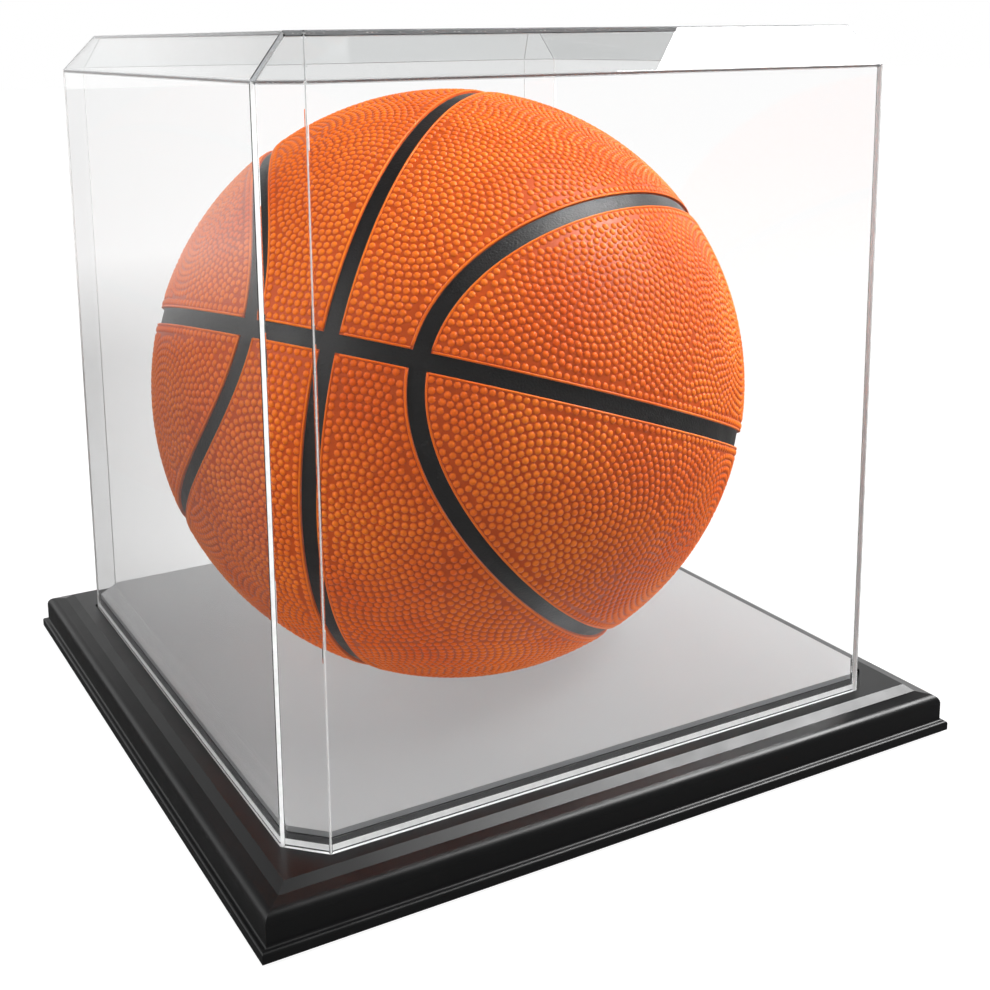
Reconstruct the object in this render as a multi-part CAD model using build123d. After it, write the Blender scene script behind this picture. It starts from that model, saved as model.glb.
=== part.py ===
from build123d import *
import math
import os

os.makedirs("parts", exist_ok=True)

# Basketball display case: a routed black base board, a raised mirror floor with a round seat,
# a clear cover welded from mitred acrylic sheets, and the ball that stands in it.
# Millimetres, +Z up, origin under the middle of the rubber feet.

# Rubber feet
foot_height = 1.5
foot_diameter = 14.0
foot_edge_chamfer = 0.4
foot_inset = 22.0            # from the board's sides to a foot's middle

# Base board with its routed edge, sizes measured inwards and upwards from its lower outer edge
board_border = 19.0          # how far the board stands out past the cover
board_thickness = 17.4
plinth_height = 2.5          # upright part at the very bottom
plinth_rounding = 1.1
cove_inset = 2.2             # from the outer side to the foot of the big round
cove_radius = 1.0
ovolo_height = 14.4          # top of the big round
ovolo_radius = 3.6
shoulder_inset = 9.4         # from the outer side to the inner end of the shoulder
shoulder_rise = 0.6
step_inset = 12.6            # from the outer side to the flat top

# Clear cover, an octagon with four narrow corners, sized round the ball
ball_side_room = 3.0         # from the ball to the walls
ball_head_room = 21.4        # from the ball to the flat top
cover_corner_leg = 12.5      # how far each narrow corner cuts back along a side
bevel_inset = 13.0
bevel_rise = 14.5
sheet_thickness = 2.5

# Groove that the rim of the cover stands in
groove_depth = 1.3
groove_outer_gap = 1.0
riser_gap = 0.7              # from the cover's inner face to the riser

# Riser, tape and mirror floor
riser_thickness = 4.6        # from the groove's floor to the riser's top
tape_thickness = 0.4
tape_length = 60.0
tape_width = 19.0
tape_ring_radius = 88.0      # from the middle to each strip
mirror_thickness = 2.0
mirror_edge_inset = 0.3

# Ball and its round seat
ball_diameter = 243.0
seat_diameter = 104.0
seat_gap = 0.3               # from the mirror's hole to the ball at rest
dish_gap = 1.0               # from the routed dish to the ball
panel_thickness = 1.8
channel_width = 6.4
channel_depth = 0.9
carcass_thickness = 1.2
bladder_thickness = 0.8
ball_turn = (172.3, -19.0, 49.5)   # degrees about its own X, Y and Z

# Curved seams of the ball: x = a + b z^2 + c z^4 in ball radii
seam_a = 0.267
seam_b = 0.973
seam_c = -0.194
seam_reach = 0.85            # how far along z the seam's guide runs, in ball radii
seam_steps = 6

# Inflation valve
valve_head_diameter = 9.0
valve_stem_diameter = 5.0
valve_length = 14.0
valve_bore = 1.2
valve_head_thickness = 3.0
valve_head_sink = 0.5        # how far the head's middle stands off the bladder's inside

# Levels and half sizes worked out from the sizes above
board_bottom = foot_height
board_top = board_bottom + board_thickness
groove_floor = board_top - groove_depth
riser_top = groove_floor + riser_thickness
tape_top = riser_top + tape_thickness
mirror_top = tape_top + mirror_thickness
ball_radius = ball_diameter / 2
seat_radius = seat_diameter / 2
ball_z = mirror_top + seat_gap + math.sqrt(ball_radius ** 2 - seat_radius ** 2)
half_cover = ball_radius + ball_side_room + sheet_thickness
half_board = half_cover + board_border
roof_z = ball_z + ball_radius + ball_head_room + sheet_thickness
knee_z = roof_z - bevel_rise
riser_inset = sheet_thickness + riser_gap
carcass_radius = ball_radius - panel_thickness
bladder_radius = carcass_radius - carcass_thickness
air_radius = bladder_radius - bladder_thickness
corner_shrink = 2 - math.sqrt(2)   # how a corner's leg shrinks as the octagon is offset inwards


def save(name, shape):
    """Write one sub-part to its own file."""
    shape.label = name
    export_step(shape, f"parts/{name}.step")


def corner_leg(inset):
    """Leg of the narrow corner on an octagon that lies this far inside the cover's outside."""
    return cover_corner_leg - corner_shrink * inset


def octagon_points(inset, z):
    """The eight corners of an octagon inside the cover's outside, anticlockwise from the front right."""
    half = half_cover - inset
    leg = corner_leg(inset)
    near = half - leg
    plan = [
        (near, -half), (half, -near), (half, near), (near, half),
        (-near, half), (-half, near), (-half, -near), (-near, -half),
    ]
    return [Vector(x, y, z) for x, y in plan]


def octagon_prism(inset, z_low, z_high):
    """An upright octagonal block between two levels."""
    plan = [(p.X, p.Y) for p in octagon_points(inset, 0)]
    face = make_face(Polyline(*plan, close=True))
    return Pos(0, 0, z_low) * extrude(face, z_high - z_low)


def board_section():
    """Half of the board's routed outline, from the middle of the underside round to the middle of the top."""
    plinth_top = board_bottom + plinth_height + plinth_rounding
    cove_x = half_board - cove_inset
    shoulder_z = board_bottom + ovolo_height
    shoulder_x = half_board - shoulder_inset
    top_x = half_board - step_inset
    plinth_end = (half_board - plinth_rounding, plinth_top)
    return [
        Line((0, board_bottom), (half_board, board_bottom)),
        Line((half_board, board_bottom), (half_board, plinth_top - plinth_rounding)),
        TangentArc((half_board, plinth_top - plinth_rounding), plinth_end, tangent=(0, 1)),
        Line(plinth_end, (cove_x + cove_radius, plinth_top)),
        TangentArc((cove_x + cove_radius, plinth_top), (cove_x, plinth_top + cove_radius), tangent=(-1, 0)),
        Line((cove_x, plinth_top + cove_radius), (cove_x, shoulder_z - ovolo_radius)),
        TangentArc((cove_x, shoulder_z - ovolo_radius), (cove_x - ovolo_radius, shoulder_z), tangent=(0, 1)),
        Line((cove_x - ovolo_radius, shoulder_z), (shoulder_x, shoulder_z + shoulder_rise)),
        Line((shoulder_x, shoulder_z + shoulder_rise), (top_x, board_top)),
        Line((top_x, board_top), (0, board_top)),
    ]


def ball_frame():
    """Where the ball stands: resting on the edge of the mirror's hole."""
    return Pos(0, 0, ball_z) * Rotation(*ball_turn)


def make_base_board():
    """Board with its edge routed on all four sides, the cover's groove and the ball's dish."""
    half_face = make_face(board_section() + [Line((0, board_top), (0, board_bottom))])
    half_face = Plane.XZ * half_face
    face = half_face + mirror(half_face, Plane.YZ)
    along_y = extrude(face, 2 * half_board, both=True)
    along_x = Rotation(0, 0, 90) * along_y
    board = along_y & along_x
    board -= octagon_prism(-groove_outer_gap, groove_floor, board_top)
    board -= Pos(0, 0, ball_z) * Sphere(ball_radius + dish_gap)
    save("base_board", board)


def make_floor():
    """Black riser, its tape strips and the mirrored floor, with the hole that the ball seats in."""
    hole = Cylinder(seat_radius, 4 * mirror_top)
    riser = octagon_prism(riser_inset, groove_floor, riser_top) - hole
    save("riser_board", riser)
    mirror_inset = riser_inset + mirror_edge_inset
    plate = octagon_prism(mirror_inset, tape_top, mirror_top) - hole
    save("mirror_floor", plate)
    strip = Pos(tape_ring_radius, 0, riser_top + tape_thickness / 2) * Box(tape_width, tape_length, tape_thickness)
    strips = [Rotation(0, 0, 90 * i) * strip for i in range(4)]
    save("mirror_tape", Compound(children=strips))


def make_feet():
    """Four stick-on rubber feet."""
    reach = half_board - foot_inset
    foot = Pos(0, 0, foot_height / 2) * Cylinder(foot_diameter / 2, foot_height)
    low_edge = foot.edges().filter_by(GeomType.CIRCLE).sort_by(Axis.Z)[0]
    foot = chamfer(low_edge, foot_edge_chamfer)
    places = {"front_left": (-1, -1), "front_right": (1, -1), "back_left": (-1, 1), "back_right": (1, 1)}
    for place, (sx, sy) in places.items():
        save(f"foot_{place}", Pos(sx * reach, sy * reach, 0) * foot)


def flat_panel(outer, inner):
    """One sheet of the cover with mitred edges, from its outer and inner corners."""
    count = len(outer)
    faces = [Face(Wire.make_polygon(outer, close=True)), Face(Wire.make_polygon(inner, close=True))]
    for i in range(count):
        j = (i + 1) % count
        faces.append(Face(Wire.make_polygon([outer[i], outer[j], inner[j], inner[i]], close=True)))
    panel = Solid(Shell(faces))
    return panel if panel.volume > 0 else Solid(panel.wrapped.Reversed())


def make_cover():
    """Eight upright walls, eight bevelled facets and the flat top, welded edge to edge."""
    slope = math.hypot(bevel_inset, bevel_rise)
    # The inner faces lie one sheet inside the outer ones, so their bends come a little lower
    along_knee = sheet_thickness * (slope - bevel_rise) / bevel_inset
    inner_knee_z = knee_z - sheet_thickness * bevel_inset / slope + along_knee * bevel_rise / slope
    along_roof = (bevel_rise - sheet_thickness + sheet_thickness * bevel_inset / slope) * slope / bevel_rise
    inner_roof_inset = (sheet_thickness * bevel_rise + along_roof * bevel_inset) / slope
    rim_out = octagon_points(0, groove_floor)
    rim_in = octagon_points(sheet_thickness, groove_floor)
    knee_out = octagon_points(0, knee_z)
    knee_in = octagon_points(sheet_thickness, inner_knee_z)
    roof_out = octagon_points(bevel_inset, roof_z)
    roof_in = octagon_points(inner_roof_inset, roof_z - sheet_thickness)
    places = ["front_right", "right", "back_right", "back", "back_left", "left", "front_left", "front"]
    for i, place in enumerate(places):
        j = (i + 1) % len(places)
        wall = flat_panel(
            [rim_out[i], rim_out[j], knee_out[j], knee_out[i]],
            [rim_in[i], rim_in[j], knee_in[j], knee_in[i]],
        )
        facet = flat_panel(
            [knee_out[i], knee_out[j], roof_out[j], roof_out[i]],
            [knee_in[i], knee_in[j], roof_in[j], roof_in[i]],
        )
        kind = "corner" if "_" in place else "wall"
        save(f"cover_{kind}_{place}", wall)
        save(f"cover_bevel_{place}", facet)
    save("cover_top", flat_panel(roof_out, roof_in))


def seam_band(side):
    """Slab that follows one curved seam, in the ball's own frame; side is +1 or -1 along X."""
    steps = [seam_reach * k / seam_steps for k in range(-seam_steps, seam_steps + 1)]
    edges = ([], [])
    for z in steps:
        x = seam_a + seam_b * z ** 2 + seam_c * z ** 4
        lean = 2 * seam_b * z + 4 * seam_c * z ** 3
        size = math.hypot(1, lean)
        for row, way in zip(edges, (1, -1)):
            row.append((
                side * (x * ball_radius + way * channel_width / 2 / size),
                z * ball_radius - way * channel_width / 2 * lean / size,
            ))
    outer, inner = edges
    outline = [
        Spline(*outer), Line(outer[-1], inner[-1]), Spline(*reversed(inner)), Line(inner[0], outer[0]),
    ]
    face = Plane.XZ * make_face(outline)
    return extrude(face, ball_diameter, both=True)


def make_ball():
    """Rubber ball: air bladder, wound carcass, eight pebbled panels and the sunk black channels."""
    place = ball_frame()
    reach = 2 * ball_diameter
    level = Box(reach, reach, channel_width)
    middle = Box(channel_width, reach, reach)
    bands = level + middle + seam_band(1) + seam_band(-1)
    valve_at = Rotation(90, 0, 0)      # the valve points out along the ball's own -Y
    stem_hole = valve_at * Pos(0, 0, ball_radius) * Cylinder(valve_stem_diameter / 2, 2 * valve_length)
    skin = Sphere(ball_radius) - Sphere(carcass_radius)
    panels = (skin - bands).solids()
    names = {}
    for panel in panels:
        c = panel.center()
        cap = abs(c.X) > 0.5 * ball_radius
        key = ("side" if cap else "middle", "a" if c.X > 0 else "b", "upper" if c.Z < 0 else "lower")
        names["_".join(key)] = panel
    for name, panel in names.items():
        save(f"ball_panel_{name}", place * panel)
    channels = Sphere(ball_radius - channel_depth) - Sphere(carcass_radius)
    for panel in panels:
        channels -= panel
    save("ball_channels", place * (channels - stem_hole))
    save("ball_carcass", place * (Sphere(carcass_radius) - Sphere(bladder_radius) - stem_hole))
    save("ball_bladder", place * (Sphere(bladder_radius) - Sphere(air_radius) - stem_hole))
    stem_top = ball_radius - channel_depth
    stem = Pos(0, 0, stem_top - valve_length / 2) * Cylinder(valve_stem_diameter / 2, valve_length)
    head_z = air_radius - valve_head_thickness / 2 - valve_head_sink
    head = Pos(0, 0, head_z) * Cylinder(valve_head_diameter / 2, valve_head_thickness)
    bore = Pos(0, 0, stem_top) * Cylinder(valve_bore / 2, valve_length)
    head -= Sphere(ball_radius) - Sphere(air_radius)
    save("ball_valve", place * valve_at * ((stem + head) - bore))
    print("ball panels:", len(panels), sorted(names))


make_base_board()
make_floor()
make_feet()
make_cover()
make_ball()
print("height", round(roof_z, 2), "board", round(2 * half_board, 2), "cover", round(2 * half_cover, 2))
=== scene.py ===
import math

import bmesh
import bpy
import numpy as np
from mathutils import Euler, Matrix, Vector
from mathutils.kdtree import KDTree


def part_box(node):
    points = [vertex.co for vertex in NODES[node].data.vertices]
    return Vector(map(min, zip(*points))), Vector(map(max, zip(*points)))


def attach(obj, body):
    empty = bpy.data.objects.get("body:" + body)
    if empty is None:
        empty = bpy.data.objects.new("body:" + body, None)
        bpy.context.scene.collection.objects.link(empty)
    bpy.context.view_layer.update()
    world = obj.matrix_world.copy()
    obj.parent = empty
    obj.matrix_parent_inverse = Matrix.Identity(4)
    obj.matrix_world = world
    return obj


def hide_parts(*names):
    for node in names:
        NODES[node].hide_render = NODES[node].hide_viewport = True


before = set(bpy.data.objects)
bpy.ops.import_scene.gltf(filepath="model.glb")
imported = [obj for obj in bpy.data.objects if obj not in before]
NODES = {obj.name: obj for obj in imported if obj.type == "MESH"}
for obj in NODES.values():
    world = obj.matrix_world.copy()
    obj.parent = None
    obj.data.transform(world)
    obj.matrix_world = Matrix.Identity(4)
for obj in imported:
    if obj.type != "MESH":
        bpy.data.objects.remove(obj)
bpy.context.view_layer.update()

bl_info = {
    "name": "Ball display case",
    "version": (1, 0, 0),
    "blender": (4, 5, 0),
    "location": "View3D > Sidebar > Display Case",
    "description": "Dresses a clear-topped display case and the ball that stands in it",
    "category": "Object",
}

MM = 0.001
MM_PER_METRE = 1000

# Real sizes of the ball and its seams, in millimetres, degrees and ball radii, as the solids have them
BALL_RADIUS = 121.5
BALL_TURN = (172.3, -19.0, 49.5)
CHANNEL_WIDTH = 6.4
SEAM_A = 0.267
SEAM_B = 0.973
SEAM_C = -0.194
SEAM_POINTS = 1440
SEAM_ROUNDS = 60

# Pebble rings: their middles in ball radii, one octant with the rest mirrored, the distance between
# rings in pitches, and in radians how far each is turned on the last and how far they reach
RING_MIDDLES = [(0.13, 0.88, 0.46), (0.25, 0.0, 0.97), (0.62, 0.70, 0.36), (0.93, 0.0, 0.37)]
RING_SPACING = 0.9
RING_TWIST = 0.7
RING_REACH = 1.0

# Least distance between pebbles in each pass, and their inset from the rows, in pitches
ROW_LEAST = 0.86
RING_LEAST = 0.80
FILL_LEAST = 0.76
LAST_FILL_LEAST = 0.82
RING_INSET = 0.25

# Rows beside the seams: distance from the lip in lip widths, and the millimetres that crossings forgive
ROW_OFF_LIP = 1.6
ROW_SLACK = 0.9

# Fill: points tried on the whole ball, times the square of its radius over the pitch
FILL_POINTS = 56

# Crowded pebbles: how near counts as crowded, in pitches, how much each push mends, and the rounds
PUSH_REACH = 0.98
PUSH_SHARE = 0.4
PUSH_ROUNDS = 5

# Steps along the seams: the fine one in ball radii, the lips' own in millimetres
FINE_STEP = 0.01
LIP_STEP = 2.0

# Corners of the cover's octagon, each with the next one, and where its frosted foot band lies in the
# sheet, from its inner face at 0 to its outer one at 1
SIDES = [(k, (k + 1) % 8) for k in range(8)]
FOOT_INSET = 0.2

# Camera, fitted to the photograph's edges in its frame of 990 by 990 pixels
PHOTO_SIZE = 990
CAMERA_PLACE = (-274.3, -510.3, 277.5)
CAMERA_HEADING = 28.869
CAMERA_PITCH = -10.710
CAMERA_ROLL = -0.751
CAMERA_FOCUS_PX = 1403.6
CAMERA_AXIS_PX = (463.4, 302.2)
SENSOR_WIDTH = 36.0

# Studio: half width of the floor in metres, and brightness levels where 1 is white
FLOOR_REACH = 8.0
FLOOR_LEVEL = 0.92
FLOOR_GREY = (0.20, 0.20, 0.20, 1)
FLOOR_GREY_MIRRORED = (0.09, 0.09, 0.09, 1)
AMBIENT_LEVEL = 0.72
WHITE = (1, 1, 1, 1)


def linear(colour):
    """An sRGB hex colour as linear red, green, blue and alpha."""
    values = [int(colour[i:i + 2], 16) / 255 for i in (1, 3, 5)]
    return tuple(v / 12.92 if v <= 0.04045 else ((v + 0.055) / 1.055) ** 2.4 for v in values) + (1.0,)


def shade(colour, share):
    """The same linear colour, darker or lighter."""
    return tuple(share * c for c in colour[:3]) + (1.0,)


def add_node(tree, kind, inputs=None, **settings):
    """Adds a node, sets it, and fills or links its inputs."""
    node = tree.nodes.new(kind)
    for name, value in settings.items():
        setattr(node, name, value)
    for name, value in (inputs or {}).items():
        socket = node.inputs[name]
        if isinstance(value, bpy.types.NodeSocket):
            tree.links.new(value, socket)
        else:
            socket.default_value = value
    return node


def new_material(name):
    """A fresh node material: (material, tree, output node)."""
    material = bpy.data.materials.new(name)
    material.use_nodes = True
    tree = material.node_tree
    tree.nodes.clear()
    return material, tree, add_node(tree, "ShaderNodeOutputMaterial")


def surface(tree, output, **inputs):
    """A Principled shader on the output, with inputs given by their names in lower case."""
    names = {key.replace("_", " ").title().replace("Ior", "IOR"): value for key, value in inputs.items()}
    shader = add_node(tree, "ShaderNodeBsdfPrincipled", names)
    tree.links.new(shader.outputs[0], output.inputs["Surface"])
    return shader


def object_space(tree):
    """Object coordinates in millimetres."""
    place = add_node(tree, "ShaderNodeTexCoord")
    scaled = add_node(tree, "ShaderNodeVectorMath", {0: place.outputs["Object"]}, operation="SCALE")
    scaled.inputs["Scale"].default_value = 1 / MM
    return scaled.outputs[0]


def noise(tree, place, size, detail=3.0, rough=0.5):
    """Noise whose features are about this many millimetres across."""
    made = add_node(tree, "ShaderNodeTexNoise", {
        "Vector": place, "Scale": 1 / size, "Detail": detail, "Roughness": rough})
    return made.outputs["Fac"]


def blend_of(tree, factor, low, high):
    """A colour between two others, each a value or a socket."""
    mix = add_node(tree, "ShaderNodeMix", {0: factor, 6: low, 7: high}, data_type="RGBA")
    return mix.outputs[2]


def spread(tree, value, low, high, to_low, to_high):
    """Maps a value from one range to another, held at its ends."""
    node = add_node(tree, "ShaderNodeMapRange", {
        "Value": value, "From Min": low, "From Max": high, "To Min": to_low, "To Max": to_high})
    return node.outputs[0]


def calc(tree, operation, first, second):
    """One sum of two values or sockets."""
    return add_node(tree, "ShaderNodeMath", {0: first, 1: second}, operation=operation).outputs[0]


def bump(tree, height, depth, strength=1.0):
    """A normal from a height, with its depth in millimetres."""
    node = add_node(tree, "ShaderNodeBump", {
        "Height": height, "Distance": depth * MM, "Strength": strength})
    return node.outputs[0]


def lacquer_material(colour):
    """Black satin lacquer on a routed board: soft wide highlights with a faint orange-peel."""
    material, tree, output = new_material("satin_lacquer")
    place = object_space(tree)
    tone = blend_of(tree, noise(tree, place, 40.0), colour, shade(colour, 1.35))
    rough = spread(tree, noise(tree, place, 12.0), 0.3, 0.7, 0.31, 0.37)
    shader = surface(tree, output, base_color=tone, roughness=rough)
    tree.links.new(bump(tree, noise(tree, place, 0.9), 0.02, 0.5), shader.inputs["Normal"])
    return material


def riser_material(colour):
    """Black hardboard riser: plain satin, slightly rougher than the lacquer."""
    material, tree, output = new_material("black_hardboard")
    place = object_space(tree)
    rough = spread(tree, noise(tree, place, 3.0), 0.3, 0.7, 0.42, 0.52)
    # The riser is black hardboard, but its colour is a mid grey that stands in for the cover's reflection
    # and haze over it: painted reflection
    surface(tree, output, base_color=colour, roughness=rough)
    return material


def mirror_material(colour):
    """Mirrored acrylic sheet: bright silver, softened by fine haze and handling marks."""
    material, tree, output = new_material("mirrored_acrylic")
    place = object_space(tree)
    haze = noise(tree, place, 60.0, 4.0)
    tone = blend_of(tree, haze, colour, shade(colour, 0.90))
    rough = spread(tree, haze, 0.3, 0.7, 0.31, 0.36)
    # Not quite a full metal, because the clear sheet over the silver scatters a little light
    surface(tree, output, base_color=tone, roughness=rough, metallic=0.82)
    return material


def acrylic_material(name, colour):
    """Cast acrylic sheet: clear and glossy, with bright lines where light runs out at its edges."""
    material, tree, output = new_material(name)
    # Cast acrylic has an index of 1.49, and the photographed sheets reflect less than that
    surface(tree, output, base_color=colour, roughness=0.0, ior=1.4, transmission_weight=1.0)
    return material


def weld_material(colour):
    """Air trapped in the solvent weld: tiny bright beads along the joints, coarser than real ones."""
    material, tree, output = new_material("weld_bubbles")
    surface(tree, output, base_color=colour, roughness=0.25)
    return material


def painted_edge_line_material(name, colour):
    """Frosted acrylic layer for the cover's edge lines, patchy where the solvent ran: a white copy is
    painted highlight for the bright lines along the edges, and a grey copy is painted shade on the upper
    joints.
    """
    material, tree, output = new_material(name)
    place = object_space(tree)
    tone = blend_of(tree, noise(tree, place, 2.5, 4.0), colour, shade(colour, 0.72))
    surface(tree, output, base_color=tone, roughness=0.5)
    return material


def orange_material(name, tops, tops_deep, gaps=None):
    """Moulded orange rubber: satin sheen, mottled by the moulding, with painted shade down between the
    pebbles in a darker red-orange.
    """
    material, tree, output = new_material(name)
    place = object_space(tree)
    patch = spread(tree, noise(tree, place, 45.0, 4.0, 0.6), 0.35, 0.7, 0.0, 1.0)
    tone = blend_of(tree, patch, tops, tops_deep)
    if gaps:
        # Painted shade between the pebbles: each dome fades from the darker gap colour at its foot to the
        # orange of its top
        rise = add_node(tree, "ShaderNodeAttribute", attribute_name="rise").outputs["Fac"]
        tone = blend_of(tree, spread(tree, rise, 0.0, 0.6, 0.0, 1.0), gaps, tone)
    rough = spread(tree, noise(tree, place, 2.2, 3.0), 0.3, 0.7, 0.34, 0.46)
    shader = surface(tree, output, base_color=tone, roughness=rough, specular_ior_level=0.22)
    tree.links.new(bump(tree, noise(tree, place, 0.7, 4.0), 0.05, 0.5), shader.inputs["Normal"])
    return material


def channel_material(colour):
    """Moulded black rubber in the channels: satin with a fine leather-like grain."""
    material, tree, output = new_material("moulded_rubber_black")
    place = object_space(tree)
    rough = spread(tree, noise(tree, place, 8.0), 0.3, 0.7, 0.34, 0.46)
    shader = surface(tree, output, base_color=colour, roughness=rough)
    tree.links.new(bump(tree, noise(tree, place, 0.8, 4.0), 0.2, 1.0), shader.inputs["Normal"])
    return material


def plain_rubber_material(name, colour):
    """Matte rubber or foam on the hidden pieces, mottled a little by handling."""
    material, tree, output = new_material(name)
    place = object_space(tree)
    tone = blend_of(tree, noise(tree, place, 3.0), colour, shade(colour, 1.3))
    surface(tree, output, base_color=tone, roughness=0.75)
    return material


def dress(names, material):
    """Gives CAD nodes their finish."""
    for name in names:
        slots = NODES[name].data.materials
        slots.clear()
        slots.append(material)


def nodes_named(prefix):
    """Names of the CAD nodes that start with these letters."""
    return sorted(name for name in NODES if name.startswith(prefix))


def link_object(name, mesh):
    """A new object in the scene."""
    made = bpy.data.objects.new(name, mesh)
    bpy.context.scene.collection.objects.link(made)
    return made


def mesh_object(name, points, faces, material=None, smooth=False):
    """A new mesh object from points in metres."""
    mesh = bpy.data.meshes.new(name)
    mesh.from_pydata([tuple(p) for p in points], [], [tuple(f) for f in faces])
    mesh.update()
    for polygon in mesh.polygons:
        polygon.use_smooth = smooth
    if material:
        mesh.materials.append(material)
    return link_object(name, mesh)


def settle(made):
    """Turns an object with modifiers into a plain mesh of the same name."""
    bpy.context.view_layer.update()
    evaluated = made.evaluated_get(bpy.context.evaluated_depsgraph_get())
    mesh = bpy.data.meshes.new_from_object(evaluated)
    name = made.name
    old = made.data
    made.modifiers.clear()
    made.data = mesh
    mesh.name = name
    bpy.data.meshes.remove(old)
    return made


def cover_levels():
    """The cover's octagons, read from its sheets: corners from the rim up, outside and then inside."""
    wall_low, wall_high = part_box("cover_wall_front")
    top_low, top_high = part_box("cover_top")
    half = -wall_low.y
    sheet = wall_high.y - wall_low.y
    leg = half - wall_high.x
    wall = [v.co for v in NODES["cover_wall_front"].data.vertices]
    roof = [v.co for v in NODES["cover_top"].data.vertices]
    near_enough = 0.01 * MM
    knee_in = max(p.z for p in wall if abs(p.y - wall_high.y) < near_enough)
    inner_half = max(p.x for p in roof if abs(p.z - top_low.z) < near_enough)
    shrink = 2 - math.sqrt(2)

    def ring(inset, z):
        """The octagon at this height, drawn in from the outside."""
        side = half - inset
        near = side - (leg - shrink * inset)
        plan = [(near, -side), (side, -near), (side, near), (near, side),
                (-near, side), (-side, near), (-side, -near), (-near, -side)]
        return [Vector((x, y, z)) for x, y in plan]

    outside = [ring(0, wall_low.z), ring(0, wall_high.z), ring(half - top_high.x, top_high.z)]
    inside = [ring(sheet, wall_low.z), ring(sheet, knee_in), ring(half - inner_half, top_low.z)]
    return outside, inside


def slab(corners, margin, half_thick):
    """Points and faces of a thin slab on four corners, drawn in from its sides by the margin."""
    middle = sum(corners, Vector()) / 4
    along = (corners[1] - corners[0]).normalized()
    normal = along.cross(corners[3] - corners[0]).normalized()
    across = normal.cross(along)
    drawn = []
    for p in corners:
        off = p - middle
        step = Vector()
        for axis in (along, across):
            reach = off.dot(axis)
            step += axis * math.copysign(min(margin, abs(reach)), reach)
        drawn.append(p - step)
    points = [p + normal * half_thick for p in drawn] + [p - normal * half_thick for p in drawn]
    faces = [(0, 1, 2, 3), (7, 6, 5, 4)]
    faces += [(k, k + 4, (k + 1) % 4 + 4, (k + 1) % 4) for k in range(4)]
    return points, faces


def joint_quads(outside, inside, sizes):
    """Four corners of each frosted layer in the cover, and whether it lies in an upper joint of the bevel
    and roof, which takes painted shade, rather than at a vertical corner, the rim or the foot, which take
    painted highlight.
    """
    lift = Vector((0, 0, sizes.edge_softness))
    foot = Vector((0, 0, sizes.foot_band))
    low = [i + (o - i) * FOOT_INSET for o, i in zip(outside[0], inside[0])]
    quads = []
    for k, m in SIDES:
        quads.append(([outside[0][k], outside[1][k], inside[1][k], inside[0][k]], False))
        quads.append(([outside[1][k], outside[2][k], inside[2][k], inside[1][k]], True))
        for level in (1, 2):
            quads.append(([outside[level][k], outside[level][m], inside[level][m], inside[level][k]], True))
        rim = [outside[0][k], outside[0][m], inside[0][m], inside[0][k]]
        quads.append(([p + lift for p in rim], False))
        quads.append(([low[k] + lift * 2, low[m] + lift * 2, low[m] + foot, low[k] + foot], False))
    return quads


def unit(v):
    """The same directions with length 1."""
    return v / np.linalg.norm(v, axis=-1, keepdims=True)


def seam_x(z):
    """Where the curved seam lies along the ball's X at this height, in ball radii."""
    return SEAM_A + SEAM_B * z ** 2 + SEAM_C * z ** 4


def seam_lean(z):
    """How fast the curved seam moves along X with height."""
    return 2 * SEAM_B * z + 4 * SEAM_C * z ** 3


def seam_loops():
    """The ball's four seams as closed loops of unit vectors in the ball's own frame."""
    turn = np.linspace(0, 2 * math.pi, SEAM_POINTS + 1)[:-1]
    level = np.stack([np.cos(turn), np.sin(turn), 0 * turn], 1)
    middle = np.stack([0 * turn, np.cos(turn), np.sin(turn)], 1)
    # The height at which the curved seam turns back over the ball's side
    reach = 0.5
    for _ in range(SEAM_ROUNDS):
        reach = math.sqrt(1 - seam_x(reach) ** 2) * 0.5 + reach * 0.5
    z = reach * np.cos(turn)
    x = seam_x(z)
    y = np.sign(np.sin(turn)) * np.sqrt(np.clip(1 - x ** 2 - z ** 2, 0, None))
    return [level, middle, np.stack([x, y, z], 1), np.stack([-x, y, z], 1)]


def resample(loop, step):
    """The same closed loop with even steps, in ball radii."""
    closed = np.vstack([loop, loop[:1]])
    along = np.concatenate([[0], np.cumsum(np.linalg.norm(np.diff(closed, axis=0), axis=1))])
    count = max(8, int(round(along[-1] / step)))
    places = np.linspace(0, along[-1], count, endpoint=False)
    return unit(np.stack([np.interp(places, along, closed[:, k]) for k in range(3)], 1))


def beside(loop, distance, step):
    """A line beside the loop, moved sideways over the ball and evenly stepped, both in millimetres."""
    fine = resample(loop, FINE_STEP)
    ahead = np.roll(fine, -1, axis=0) - np.roll(fine, 1, axis=0)
    across = unit(np.cross(ahead, fine))
    angle = distance / BALL_RADIUS
    return resample(unit(fine * math.cos(angle) + across * math.sin(angle)), step / BALL_RADIUS)


def seam_gaps(points):
    """How far each point lies from each of the four seams, in millimetres; shape (count, 4)."""
    x, z = points[:, 0], points[:, 2]
    slope = np.sqrt(1 + seam_lean(z) ** 2)
    across = np.stack([1 / slope, 0 * z, -seam_lean(z) / slope], 1)
    gaps = [np.abs(np.arcsin(np.clip(z, -1, 1))), np.abs(np.arcsin(np.clip(x, -1, 1)))]
    for side in (1, -1):
        gap = (side * x - seam_x(z)) / slope
        lean = (across * points * np.array([side, 1, 1])).sum(1)
        gaps.append(np.abs(gap) / np.sqrt(np.clip(1 - lean ** 2, 0.2, 1)))
    return np.stack(gaps, 1) * BALL_RADIUS


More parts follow.
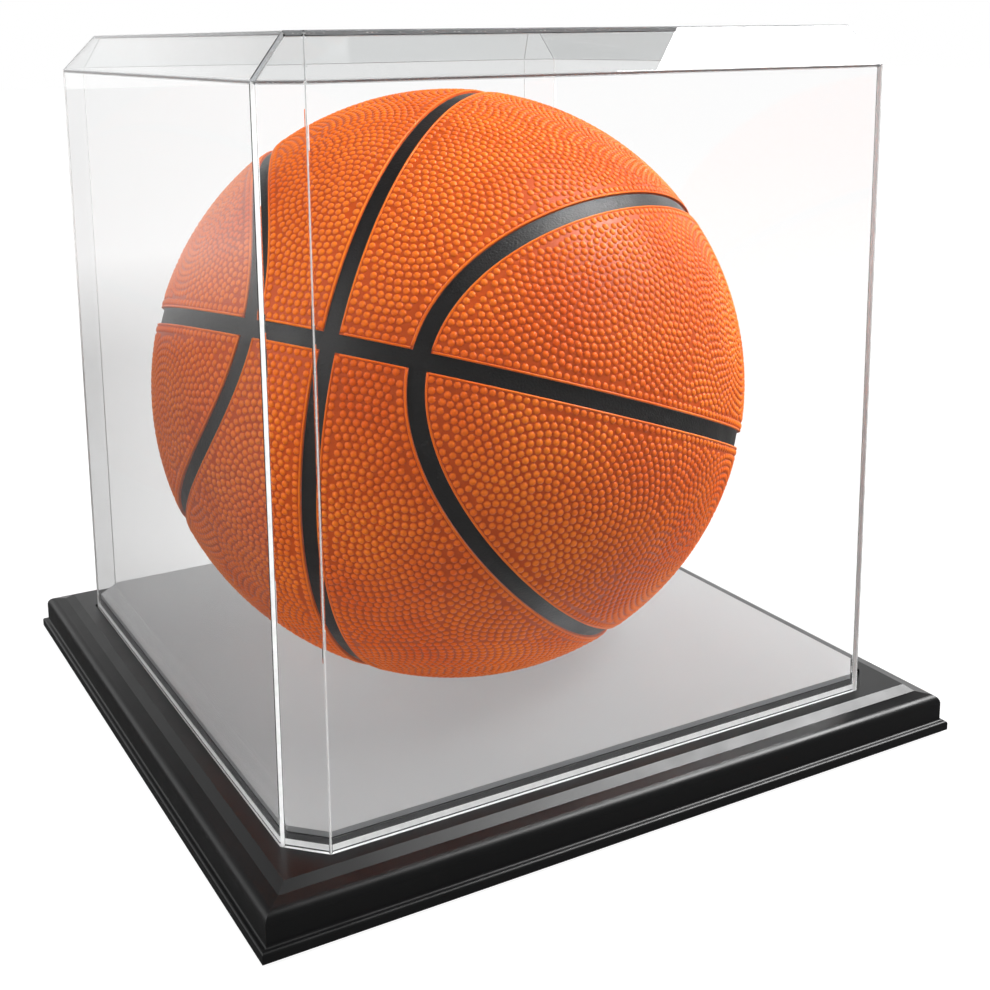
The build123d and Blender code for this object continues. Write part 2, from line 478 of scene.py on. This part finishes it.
def panel_of(points):
    """The name of the CAD panel that each point lies in; the ball's own Z points down in the case."""
    cap = np.abs(points[:, 0]) > seam_x(points[:, 2])
    names = []
    for point, is_cap in zip(points, cap):
        band = "side" if is_cap else "middle"
        half = "a" if point[0] > 0 else "b"
        level = "upper" if point[2] < 0 else "lower"
        names.append("_".join(("ball_panel", band, half, level)))
    return names


def ring_middles():
    """The middles of all the rings, as unit vectors."""
    middles = []
    for x, y, z in RING_MIDDLES:
        for sx in (1, -1):
            for sy in (1, -1) if y else (1,):
                for sz in (1, -1):
                    middles.append((sx * x, sy * y, sz * z))
    return unit(np.array(middles))


def pebble_rings(pitch):
    """Rings of points round each middle, each ring kept where its own middle is the nearest."""
    middles = ring_middles()
    rings = []
    for k, middle in enumerate(middles):
        side = unit(np.cross(middle, [0.31, 0.17, 0.94]))
        other = np.cross(middle, side)
        for ring in range(0, int(RING_REACH / (pitch * RING_SPACING))):
            angle = ring * pitch * RING_SPACING
            count = max(1, int(round(2 * math.pi * math.sin(angle) / pitch)))
            turn = np.arange(count) * 2 * math.pi / count + ring * RING_TWIST
            circle = math.cos(angle) * middle + math.sin(angle) * (
                np.cos(turn)[:, None] * side + np.sin(turn)[:, None] * other)
            own = (circle @ middles.T).argmax(1) == k
            rings.append(circle[own])
    return rings


def even_points(count):
    """Points spread evenly over the ball in one long spiral."""
    step = np.arange(count) + 0.5
    height = 1 - 2 * step / count
    turn = step * math.pi * (3 - math.sqrt(5))
    flat = np.sqrt(1 - height ** 2)
    return np.stack([flat * np.cos(turn), flat * np.sin(turn), height], 1)


def pebble_places(sizes):
    """Where the pebbles stand: a row along every seam, rings, and a fill where the rings meet."""
    pitch_mm = sizes.pebble_pitch * MM_PER_METRE
    pitch = pitch_mm / BALL_RADIUS
    edge = CHANNEL_WIDTH / 2 + sizes.lip_width * MM_PER_METRE * ROW_OFF_LIP + pitch_mm / 2
    inset = edge + RING_INSET * pitch_mm
    rows = [beside(loop, side * edge, pitch_mm) for loop in seam_loops() for side in (1, -1)]
    fill = [even_points(int(FILL_POINTS / pitch ** 2))]
    kept = thin_out([], rows, ROW_LEAST * pitch, edge - ROW_SLACK)
    fixed = len(kept)
    kept = thin_out(kept, pebble_rings(pitch), RING_LEAST * pitch, inset)
    kept = thin_out(kept, fill, FILL_LEAST * pitch, inset)
    kept = spread_out(kept, fixed, pitch, edge)
    kept = thin_out(kept, fill, LAST_FILL_LEAST * pitch, inset)
    return spread_out(kept, fixed, pitch, edge)


def thin_out(kept, blocks, least, clearance):
    """Adds the points that lie no nearer to a kept point, and to a seam in millimetres, than these."""
    kept = list(kept)
    cells = {}
    for point in kept:
        cells.setdefault(tuple(np.floor(point / least).astype(int)), []).append(point)
    steps = (-1, 0, 1)
    around = [(i, j, k) for i in steps for j in steps for k in steps]
    for block in blocks:
        for point in block[seam_gaps(block).min(1) > clearance]:
            x, y, z = np.floor(point / least).astype(int)
            near = [other for i, j, k in around for other in cells.get((x + i, y + j, z + k), ())]
            if all(np.dot(point - other, point - other) >= least ** 2 for other in near):
                cells.setdefault((x, y, z), []).append(point)
                kept.append(point)
    return kept


def spread_out(kept, fixed, pitch, edge):
    """Pushes crowded points apart over the ball, and leaves the rows beside the seams where they are."""
    points = np.array(kept)
    reach = pitch * PUSH_REACH
    for _ in range(PUSH_ROUNDS):
        tree = KDTree(len(points))
        for number, point in enumerate(points):
            tree.insert(point, number)
        tree.balance()
        push = np.zeros_like(points)
        for number in range(fixed, len(points)):
            for place, other, distance in tree.find_range(points[number], reach):
                if other != number:
                    away = points[number] - np.array(place)
                    push[number] += away * (reach / distance - 1) * PUSH_SHARE
        pushed = unit(points + push)
        inside = seam_gaps(pushed).min(1) > edge
        inside[:fixed] = False
        points[inside] = pushed[inside]
    return points


def ball_matrix():
    """From the ball's own frame to the case's, in metres."""
    low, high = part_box("ball_carcass")
    turn = Euler([math.radians(a) for a in BALL_TURN], "ZYX").to_matrix().to_4x4()
    return Matrix.Translation((low + high) / 2) @ turn


def moved(matrix, points):
    """Points through a matrix, as an array."""
    m = np.array(matrix)
    return points @ m[:3, :3].T + m[:3, 3]


def wrap_faces(faces, rows, sides):
    """Adds the quads that join neighbouring rows of a round skin."""
    for row in range(rows - 1):
        for k in range(sides):
            a = row * sides + k
            b = row * sides + (k + 1) % sides
            faces.append((a, b, b + sides, a + sides))


def dome_object(name, sides=8):
    """One pebble, a low dome of radius 1 and height 1 that reaches a little below its foot."""
    levels = [(1.0, -0.25), (0.86, 0.30), (0.50, 0.82)]
    points = []
    for radius, height in levels:
        for k in range(sides):
            angle = 2 * math.pi * k / sides
            points.append((radius * math.cos(angle), radius * math.sin(angle), height))
    points.append((0, 0, 1.0))
    faces = []
    wrap_faces(faces, len(levels), sides)
    last = (len(levels) - 1) * sides
    for k in range(sides):
        faces.append((last + k, last + (k + 1) % sides, len(points) - 1))
    dome = mesh_object(name, points, faces, smooth=True)
    # The height above the foot, which the rubber reads to paint shade down between the pebbles
    rise = dome.data.attributes.new("rise", "FLOAT", "POINT")
    rise.data.foreach_set("value", [max(0.0, p[2]) for p in points])
    return dome


def new_tree(name, inputs):
    """A geometry tree with named inputs, each a kind and its starting value: (tree, input node)."""
    tree = bpy.data.node_groups.new(name, "GeometryNodeTree")
    tree.interface.new_socket("Geometry", in_out="OUTPUT", socket_type="NodeSocketGeometry")
    for label, (kind, value) in inputs.items():
        socket = tree.interface.new_socket(label, in_out="INPUT", socket_type="NodeSocket" + kind)
        if value is not None:
            socket.default_value = value
    return tree, add_node(tree, "NodeGroupInput")


def finish_tree(tree, geometry, coat):
    """Gives the tree's geometry its material and leads it out."""
    dressed = add_node(tree, "GeometryNodeSetMaterial", {"Geometry": geometry, "Material": coat})
    add_node(tree, "NodeGroupOutput", {0: dressed.outputs[0]})
    return tree


def pebble_tree():
    """Geometry tree: a dome on every point, standing along its outward direction."""
    tree, inside = new_tree("pebbles", {
        "Points": ("Geometry", None), "Dome": ("Object", None), "Radius": ("Float", 0.00145),
        "Height": ("Float", 0.0006), "Uneven": ("Float", 0.1), "Seed": ("Int", 3),
        "Material": ("Material", None)})
    given = inside.outputs
    outward = add_node(tree, "GeometryNodeInputNamedAttribute", {
        "Name": "outward"}, data_type="FLOAT_VECTOR")
    turn = add_node(tree, "FunctionNodeAlignRotationToVector", {"Vector": outward.outputs[0]}, axis="Z")
    least = calc(tree, "SUBTRACT", 1.0, given["Uneven"])
    size = add_node(tree, "FunctionNodeRandomValue", {
        2: least, 3: 1.0, "Seed": given["Seed"]}, data_type="FLOAT")
    wide = calc(tree, "MULTIPLY", given["Radius"], size.outputs[1])
    tall = calc(tree, "MULTIPLY", given["Height"], size.outputs[1])
    scale = add_node(tree, "ShaderNodeCombineXYZ", {"X": wide, "Y": wide, "Z": tall})
    dome = add_node(tree, "GeometryNodeObjectInfo", {"Object": given["Dome"]})
    copies = add_node(tree, "GeometryNodeInstanceOnPoints", {
        "Points": given["Points"], "Instance": dome.outputs["Geometry"],
        "Rotation": turn.outputs[0], "Scale": scale.outputs[0]})
    real = add_node(tree, "GeometryNodeRealizeInstances", {"Geometry": copies.outputs[0]})
    return finish_tree(tree, real.outputs[0], given["Material"])


def weld_tree():
    """Geometry tree: beads of air strewn along the welded edges."""
    tree, inside = new_tree("weld_beads", {
        "Edges": ("Geometry", None), "Spacing": ("Float", 0.0016), "Share": ("Float", 0.5),
        "Bead": ("Float", 0.0003), "Seed": ("Int", 7), "Material": ("Material", None)})
    given = inside.outputs
    curve = add_node(tree, "GeometryNodeMeshToCurve", {"Mesh": given["Edges"]})
    points = add_node(tree, "GeometryNodeCurveToPoints", {
        "Curve": curve.outputs[0], "Length": given["Spacing"]}, mode="LENGTH")
    pick = add_node(tree, "FunctionNodeRandomValue", {
        "Probability": given["Share"], "Seed": given["Seed"]}, data_type="BOOLEAN")
    smallest, largest = (0.4, 0.4, 0.5), (1.0, 1.0, 2.6)
    size = add_node(tree, "FunctionNodeRandomValue", {
        0: smallest, 1: largest, "Seed": given["Seed"]}, data_type="FLOAT_VECTOR")
    scale = add_node(tree, "ShaderNodeVectorMath", {
        0: size.outputs[0], "Scale": given["Bead"]}, operation="SCALE")
    bead = add_node(tree, "GeometryNodeMeshIcoSphere", {"Radius": 1.0, "Subdivisions": 1})
    copies = add_node(tree, "GeometryNodeInstanceOnPoints", {
        "Points": points.outputs[0], "Selection": pick.outputs[3], "Instance": bead.outputs[0],
        "Rotation": points.outputs["Rotation"], "Scale": scale.outputs[0]})
    real = add_node(tree, "GeometryNodeRealizeInstances", {"Geometry": copies.outputs[0]})
    soft = add_node(tree, "GeometryNodeSetShadeSmooth", {"Geometry": real.outputs[0]})
    return finish_tree(tree, soft.outputs[0], given["Material"])


def run_tree(made, tree, **values):
    """Runs a geometry tree on an object, its inputs given by name, and keeps the result as a plain mesh."""
    modifier = made.modifiers.new("build", "NODES")
    modifier.node_group = tree
    for item in tree.interface.items_tree:
        if item.item_type == "SOCKET" and item.in_out == "INPUT":
            key = item.name.lower()
            if key in values:
                modifier[item.identifier] = values[key]
    return settle(made)


def tube_along(points, outward, radius, sides=6):
    """Points and faces of a thin tube along a line on the ball, closed at both ends."""
    count = len(points)
    ahead = unit(np.roll(points, -1, axis=0) - np.roll(points, 1, axis=0))
    ahead[0] = unit(points[1] - points[0])
    ahead[-1] = unit(points[-1] - points[-2])
    across = unit(np.cross(ahead, outward))
    corners = []
    for k in range(sides):
        angle = 2 * math.pi * k / sides
        corners.append(points + radius * (math.cos(angle) * across + math.sin(angle) * outward))
    skin = np.stack(corners, 1).reshape(-1, 3)
    faces = []
    wrap_faces(faces, count, sides)
    faces.append(tuple(range(sides)))
    faces.append(tuple((count - 1) * sides + k for k in reversed(range(sides))))
    return skin, faces


def clear_runs(line, gaps, clearance):
    """The stretches of a closed line whose points all lie this far from the other seams."""
    clear = gaps.min(1) > clearance
    start = int(np.argmin(clear))
    line = np.roll(line, -start, axis=0)
    clear = np.roll(clear, -start)
    turns = np.flatnonzero(np.diff(np.concatenate([[0], clear.astype(int), [0]])))
    runs = [line[first:last] for first, last in zip(turns[::2], turns[1::2])]
    return [run for run in runs if len(run) > 2]


class DisplayCaseSizes(bpy.types.PropertyGroup):
    """Sizes of the case's fine detail."""
    pebble_pitch: bpy.props.FloatProperty(
        name="Pebble pitch", description="Distance between pebbles on the ball",
        default=3.05 * MM, min=2 * MM, max=6 * MM, subtype="DISTANCE", unit="LENGTH")
    pebble_radius: bpy.props.FloatProperty(
        name="Pebble radius", description="Radius of one pebble at its foot",
        default=1.52 * MM, min=0.5 * MM, max=3 * MM, subtype="DISTANCE", unit="LENGTH")
    pebble_height: bpy.props.FloatProperty(
        name="Pebble height", description="How far a pebble stands out of the panel",
        default=0.62 * MM, min=0.1 * MM, max=2 * MM, subtype="DISTANCE", unit="LENGTH")
    lip_width: bpy.props.FloatProperty(
        name="Lip width", description="Radius of the raised lip beside each channel",
        default=0.45 * MM, min=0.1 * MM, max=2 * MM, subtype="DISTANCE", unit="LENGTH")
    edge_softness: bpy.props.FloatProperty(
        name="Edge softness", description="Rounding of the cover's polished edges",
        default=0.35 * MM, min=0.05 * MM, max=1 * MM, subtype="DISTANCE", unit="LENGTH")
    joint_thickness: bpy.props.FloatProperty(
        name="Joint thickness", description="Thickness of the frosted layer in each glued joint",
        default=0.2 * MM, min=0.05 * MM, max=1 * MM, subtype="DISTANCE", unit="LENGTH")
    # The frosted foot band is a white layer of painted highlight along the cover's foot
    foot_band: bpy.props.FloatProperty(
        name="Foot band", description="Height of the frosted band along the cover's foot",
        default=3.4 * MM, min=0.5 * MM, max=8 * MM, subtype="DISTANCE", unit="LENGTH")
    bead_size: bpy.props.FloatProperty(
        name="Weld bead size", description="Radius of the largest air beads in the welds",
        default=0.28 * MM, min=0.05 * MM, max=1 * MM, subtype="DISTANCE", unit="LENGTH")


class DisplayCaseColours(bpy.types.PropertyGroup):
    """Colours of the case and the ball."""
    lacquer: bpy.props.FloatVectorProperty(
        name="Lacquer", description="Black lacquer of the base board",
        default=linear("#0B0B0C"), size=4, min=0, max=1, subtype="COLOR")
    # Mid grey rather than the board's black: painted reflection of the cover and its haze over the riser
    riser: bpy.props.FloatVectorProperty(
        name="Riser", description="Black riser under the mirror",
        default=linear("#4C4C4D"), size=4, min=0, max=1, subtype="COLOR")
    silver: bpy.props.FloatVectorProperty(
        name="Silver", description="Mirrored floor",
        default=linear("#E0E2E3"), size=4, min=0, max=1, subtype="COLOR")
    acrylic: bpy.props.FloatVectorProperty(
        name="Acrylic", description="Clear cover",
        default=linear("#FFFFFF"), size=4, min=0, max=1, subtype="COLOR")
    # Grey tint on the cover's sloping facets: painted shade for the grey they reflect
    bevel: bpy.props.FloatVectorProperty(
        name="Bevel acrylic", description="Clear cover's sloping facets, a little shaded",
        default=linear("#EFF0F0"), size=4, min=0, max=1, subtype="COLOR")
    orange: bpy.props.FloatVectorProperty(
        name="Orange", description="Pebbled panels of the ball",
        default=linear("#F17B12"), size=4, min=0, max=1, subtype="COLOR")
    orange_deep: bpy.props.FloatVectorProperty(
        name="Deep orange", description="Redder patches of the panels",
        default=linear("#E25A00"), size=4, min=0, max=1, subtype="COLOR")
    # A darker red-orange for the rubber down between the pebbles: painted shade
    orange_gap_painted_shade: bpy.props.FloatVectorProperty(
        name="Gap orange", description="Red rubber down between the pebbles",
        default=linear("#C84E08"), size=4, min=0, max=1, subtype="COLOR")
    channel: bpy.props.FloatVectorProperty(
        name="Channel", description="Black rubber in the ball's channels",
        default=linear("#121111"), size=4, min=0, max=1, subtype="COLOR")


class CASE_OT_base(bpy.types.Operator):
    """Finish the lacquered board, its riser, the mirrored floor, the tape and the feet"""
    bl_idname = "display_case.base"
    bl_label = "Base"

    def execute(self, context):
        colours = context.scene.display_case_colours
        dress(["base_board"], lacquer_material(tuple(colours.lacquer)))
        dress(["riser_board"], riser_material(tuple(colours.riser)))
        dress(["mirror_floor"], mirror_material(tuple(colours.silver)))
        dress(["mirror_tape"], plain_rubber_material("foam_tape", linear("#D8D6CE")))
        dress(nodes_named("foot_"), plain_rubber_material("foot_rubber", linear("#1B1B1B")))
        return {"FINISHED"}


class CASE_OT_cover(bpy.types.Operator):
    """Build the clear cover as one welded shell with softened edges"""
    bl_idname = "display_case.cover"
    bl_label = "Cover"

    def execute(self, context):
        sizes = context.scene.display_case_sizes
        colours = context.scene.display_case_colours
        outside, inside = cover_levels()
        rings = outside + inside
        points = [p for ring in rings for p in ring]
        faces = []
        levels = len(outside)
        for shell, flip in ((0, False), (levels, True)):
            skin = []
            for level in range(shell, shell + levels - 1):
                for k, m in SIDES:
                    skin.append((level * 8 + k, level * 8 + m, level * 8 + 8 + m, level * 8 + 8 + k))
            skin.append(tuple((shell + levels - 1) * 8 + k for k in range(8)))
            faces += [face[::-1] for face in skin] if flip else skin
        faces += [(m, k, levels * 8 + k, levels * 8 + m) for k, m in SIDES]
        clear = acrylic_material("cast_acrylic", tuple(colours.acrylic))
        cover = mesh_object("acrylic_cover", points, faces, clear)
        # The sloping facets above the knee get a grey-tinted copy of the acrylic: painted shade for the
        # grey they reflect
        cover.data.materials.append(acrylic_material("bevel_acrylic", tuple(colours.bevel)))
        above_knee = outside[1][0].z + sizes.edge_softness
        for polygon in cover.data.polygons:
            sloping = abs(polygon.normal.z) < 0.9
            polygon.material_index = int(polygon.center.z > above_knee and sloping)
        soften = cover.modifiers.new("soften", "BEVEL")
        soften.width = sizes.edge_softness
        soften.segments = 2
        soften.limit_method = "ANGLE"
        soften.angle_limit = math.radians(20)
        settle(cover)
        cover.visible_shadow = False
        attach(cover, "cover")
        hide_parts(*nodes_named("cover_"))
        return {"FINISHED"}


class CASE_OT_welds(bpy.types.Operator):
    """Strew beads of trapped air along the cover's welds, and lay frosted layers in its joints and edges:
    white ones as painted highlight, grey ones on the upper joints as painted shade
    """
    bl_idname = "display_case.welds"
    bl_label = "Weld beads"

    def execute(self, context):
        sizes = context.scene.display_case_sizes
        outside, inside = cover_levels()
        middles = [[(a + b) / 2 for a, b in zip(o, i)] for o, i in zip(outside, inside)]
        points = [p for ring in middles for p in ring]
        mesh = bpy.data.meshes.new("weld_beads")
        edges = []
        for k, m in SIDES:
            edges += [(k, 8 + k), (8 + k, 16 + k), (8 + k, 8 + m), (16 + k, 16 + m)]
        mesh.from_pydata([tuple(p) for p in points], edges, [])
        beads = link_object("weld_beads", mesh)
        run_tree(beads, weld_tree(), bead=sizes.bead_size, material=weld_material(linear("#F6F6F4")))
        points, faces, looks = [], [], []
        # The upper joints take the grey copy as painted shade, the vertical corners, rim and foot the white
        # one as painted highlight
        for quad, glued in joint_quads(outside, inside, sizes):
            more, own = slab(quad, sizes.edge_softness, sizes.joint_thickness / 2)
            faces += [tuple(len(points) + i for i in face) for face in own]
            points += more
            looks += [int(glued)] * len(own)
        joints = mesh_object("sawn_edges", points, faces, painted_edge_line_material("sawn_acrylic", linear("#F8F9F9")))
        joints.data.materials.append(painted_edge_line_material("glued_acrylic", linear("#BABCBE")))
        joints.data.polygons.foreach_set("material_index", looks)
        for made in (beads, joints):
            made.visible_shadow = False
            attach(made, "cover")
        return {"FINISHED"}


class CASE_OT_ball(bpy.types.Operator):
    """Finish the ball's panels, channels and inner layers"""
    bl_idname = "display_case.ball"
    bl_label = "Ball"

    def execute(self, context):
        colours = context.scene.display_case_colours
        # The panels show only between the pebbles, so they take the darker gap colour: painted shade
        gap = tuple(colours.orange_gap_painted_shade)
        dress(nodes_named("ball_panel_"), orange_material("moulded_rubber_gaps", gap, shade(gap, 0.8)))
        dress(["ball_channels"], channel_material(tuple(colours.channel)))
        dress(["ball_carcass"], plain_rubber_material("carcass_rubber", linear("#8A5A38")))
        dress(["ball_bladder", "ball_valve"], plain_rubber_material("butyl_rubber", linear("#222222")))
        # The floor plate and the sheets of the photographed case don't mirror the ball
        for name in nodes_named("ball_"):
            NODES[name].visible_glossy = False
        return {"FINISHED"}


class CASE_OT_pebbles(bpy.types.Operator):
    """Stand the pebbles on the ball's panels"""
    bl_idname = "display_case.pebbles"
    bl_label = "Pebbles"

    def execute(self, context):
        sizes = context.scene.display_case_sizes
        places = pebble_places(sizes)
        owners = np.array(panel_of(places))
        matrix = ball_matrix()
        dome = dome_object("pebble")
        tree = pebble_tree()
        colours = context.scene.display_case_colours
        # The pebbles fade to the darker gap colour at their feet: painted shade
        orange = [tuple(colour) for colour in (colours.orange, colours.orange_deep, colours.orange_gap_painted_shade)]
        material = orange_material("moulded_rubber_pebbles", *orange)
        for number, name in enumerate(nodes_named("ball_panel_")):
            own = places[owners == name]
            if not len(own):
                raise RuntimeError("no pebbles on " + name)
            mesh = bpy.data.meshes.new("pebbles")
            mesh.from_pydata(moved(matrix, own * BALL_RADIUS * MM).tolist(), [], [])
            outward = mesh.attributes.new("outward", "FLOAT_VECTOR", "POINT")
            turned = own @ np.array(matrix)[:3, :3].T
            outward.data.foreach_set("vector", turned.astype(np.float32).ravel())
            pebbles = link_object(name.replace("ball_panel", "pebbles"), mesh)
            run_tree(pebbles, tree, dome=dome, radius=sizes.pebble_radius, height=sizes.pebble_height,
                     seed=number + 3, material=material)
            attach(pebbles, "ball")
            pebbles.visible_glossy = False
        bpy.data.objects.remove(dome)
        return {"FINISHED"}


class CASE_OT_lips(bpy.types.Operator):
    """Run the raised lips along both sides of every channel"""
    bl_idname = "display_case.lips"
    bl_label = "Channel lips"

    def execute(self, context):
        sizes = context.scene.display_case_sizes
        colours = context.scene.display_case_colours
        radius = sizes.lip_width * MM_PER_METRE
        offset = CHANNEL_WIDTH / 2 + radius
        points = np.zeros((0, 3))
        faces = []
        for index, loop in enumerate(seam_loops()):
            for side in (1, -1):
                line = beside(loop, side * offset, LIP_STEP)
                gaps = seam_gaps(line)
                gaps[:, index] = offset
                for run in clear_runs(line, gaps, CHANNEL_WIDTH / 2 + radius * 0.5):
                    skin, more = tube_along(run * BALL_RADIUS, run, radius)
                    faces += [tuple(len(points) + i for i in face) for face in more]
                    points = np.vstack([points, skin])
        rubber = orange_material("moulded_rubber_lips", tuple(colours.orange), tuple(colours.orange_deep))
        lips = mesh_object("channel_lips", moved(ball_matrix(), points * MM), faces, rubber, smooth=True)
        lips.visible_glossy = False
        tidy = bmesh.new()
        tidy.from_mesh(lips.data)
        bmesh.ops.recalc_face_normals(tidy, faces=tidy.faces)
        tidy.to_mesh(lips.data)
        tidy.free()
        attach(lips, "ball")
        return {"FINISHED"}


def ray_kinds(tree):
    """Two masks: rays that the camera sees straight or through the clear cover, and mirrored rays."""
    path = add_node(tree, "ShaderNodeLightPath").outputs
    undiffused = calc(tree, "LESS_THAN", path["Diffuse Depth"], 0.5)
    mirrored = calc(tree, "GREATER_THAN", path["Glossy Depth"], 0.5)
    unmirrored = calc(tree, "SUBTRACT", 1.0, mirrored)
    straight = calc(tree, "MAXIMUM", path["Is Camera Ray"], path["Is Transmission Ray"])
    straight = calc(tree, "MULTIPLY", calc(tree, "MULTIPLY", straight, undiffused), unmirrored)
    return straight, calc(tree, "MULTIPLY", mirrored, undiffused)


def floor_material():
    """Pale studio floor: white to the camera with the case's soft shadow, dark in front for gloss."""
    material, tree, output = new_material("studio_floor")
    straight, mirrored = ray_kinds(tree)
    place = add_node(tree, "ShaderNodeTexCoord").outputs["Object"]
    depth = add_node(tree, "ShaderNodeSeparateXYZ", {0: place}).outputs["Y"]
    gloss = calc(tree, "MULTIPLY", mirrored, spread(tree, depth, 0.7, 1.3, 0.02, 0.7))
    level = calc(tree, "MAXIMUM", calc(tree, "MULTIPLY", straight, FLOOR_LEVEL), gloss)
    grey = blend_of(tree, mirrored, FLOOR_GREY, FLOOR_GREY_MIRRORED)
    matte = add_node(tree, "ShaderNodeBsdfDiffuse", {"Color": grey})
    glow = add_node(tree, "ShaderNodeEmission", {"Color": WHITE, "Strength": level})
    both = add_node(tree, "ShaderNodeAddShader", {0: matte.outputs[0], 1: glow.outputs[0]})
    tree.links.new(both.outputs[0], output.inputs["Surface"])
    return material


def room_level(tree):
    """How bright the mirrored room is each way: a white wall behind the case, a dim ceiling and front."""
    way = add_node(tree, "ShaderNodeTexCoord").outputs["Generated"]
    axes = add_node(tree, "ShaderNodeSeparateXYZ", {0: way}).outputs
    wall = spread(tree, axes["Y"], -0.4, 0.5, 0.08, 1.0)
    low_glare = spread(tree, axes["Z"], 0.28, 0.38, 1.5, 0.9)
    ceiling = spread(tree, axes["Z"], 0.34, 0.50, 1.0, 0.10)
    right = spread(tree, axes["X"], 0.15, 0.8, 0.95, 1.15)
    left = spread(tree, axes["X"], -0.1, 0.15, 0.7, 1.0)
    height = calc(tree, "MULTIPLY", low_glare, ceiling)
    return calc(tree, "MULTIPLY", calc(tree, "MULTIPLY", wall, height), calc(tree, "MULTIPLY", right, left))


def add_world():
    """White surround for what the camera sees, and a studio room for light and gloss."""
    world = bpy.data.worlds.new("studio")
    world.use_nodes = True
    tree = world.node_tree
    tree.nodes.clear()
    straight, mirrored = ray_kinds(tree)
    gloss, light, white = [
        add_node(tree, "ShaderNodeBackground", {"Color": WHITE, "Strength": level}).outputs[0]
        for level in (room_level(tree), AMBIENT_LEVEL, 1.0)]
    lit = add_node(tree, "ShaderNodeMixShader", {0: mirrored, 1: light, 2: gloss})
    both = add_node(tree, "ShaderNodeMixShader", {0: straight, 1: lit.outputs[0], 2: white})
    add_node(tree, "ShaderNodeOutputWorld", {"Surface": both.outputs[0]})
    bpy.context.scene.world = world


def add_lamp(name, place, target, width, height, power):
    """A soft box aimed at a point, in metres and watts."""
    data = bpy.data.lights.new(name, "AREA")
    data.shape = "RECTANGLE"
    data.size = width
    data.size_y = height
    data.energy = power
    lamp = link_object(name, data)
    lamp.location = place
    lamp.rotation_euler = (Vector(target) - Vector(place)).to_track_quat("-Z", "Y").to_euler()


def add_camera():
    """The camera that took the photograph, from the fit of its lines."""
    data = bpy.data.cameras.new("photo_camera")
    data.sensor_width = SENSOR_WIDTH
    data.lens = CAMERA_FOCUS_PX / PHOTO_SIZE * SENSOR_WIDTH
    data.shift_x = (PHOTO_SIZE / 2 - CAMERA_AXIS_PX[0]) / PHOTO_SIZE
    data.shift_y = (CAMERA_AXIS_PX[1] - PHOTO_SIZE / 2) / PHOTO_SIZE
    data.clip_start = 0.01
    camera = link_object("photo_camera", data)
    aim = Euler((math.radians(90 + CAMERA_PITCH), 0, math.radians(-CAMERA_HEADING)), "XYZ").to_matrix()
    roll = Matrix.Rotation(math.radians(CAMERA_ROLL), 3, "Z")
    camera.matrix_world = Matrix.Translation(Vector(CAMERA_PLACE) * MM) @ (aim @ roll).to_4x4()
    bpy.context.scene.camera = camera


class CASE_OT_stage(bpy.types.Operator):
    """Set up the floor, the lamps, the surround and the camera"""
    bl_idname = "display_case.stage"
    bl_label = "Stage"

    def execute(self, context):
        corners = [(x * FLOOR_REACH, y * FLOOR_REACH, 0) for x, y in ((-1, -1), (1, -1), (1, 1), (-1, 1))]
        floor = mesh_object("studio_floor", corners, [(0, 1, 2, 3)], floor_material())
        add_world()
        add_lamp("top_right_box", (1.02, -0.50, 1.2), (0, 0, 0.12), 0.62, 0.62, 23)
        add_lamp("left_box", (-1.2, 0.1, 0.6), (0, 0, 0.1), 0.6, 0.8, 4)
        add_camera()
        context.scene.view_settings.view_transform = "Standard"
        return {"FINISHED"}


class CASE_PT_panel(bpy.types.Panel):
    """Lists the sizes, the colours and the steps"""
    bl_idname = "CASE_PT_panel"
    bl_label = "Display Case"
    bl_space_type = "VIEW_3D"
    bl_region_type = "UI"
    bl_category = "Display Case"

    def draw(self, context):
        for group in (context.scene.display_case_sizes, context.scene.display_case_colours):
            for name in group.__annotations__:
                self.layout.prop(group, name)
        for step in STEPS:
            self.layout.operator(step.bl_idname)


STEPS = (
    CASE_OT_stage, CASE_OT_base, CASE_OT_cover, CASE_OT_welds, CASE_OT_ball, CASE_OT_pebbles, CASE_OT_lips)
CLASSES = (DisplayCaseSizes, DisplayCaseColours) + STEPS + (CASE_PT_panel,)


def register():
    """Makes the add-on's classes and settings known."""
    for item in CLASSES:
        bpy.utils.register_class(item)
    bpy.types.Scene.display_case_sizes = bpy.props.PointerProperty(type=DisplayCaseSizes)
    bpy.types.Scene.display_case_colours = bpy.props.PointerProperty(type=DisplayCaseColours)


def unregister():
    """Takes them away again."""
    del bpy.types.Scene.display_case_colours
    del bpy.types.Scene.display_case_sizes
    for item in reversed(CLASSES):
        bpy.utils.unregister_class(item)


def main():
    """Builds the whole scene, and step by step."""
    register()
    for step in STEPS:
        group, name = step.bl_idname.split(".")
        getattr(getattr(bpy.ops, group), name)()


if __name__ == "__main__":
    main()
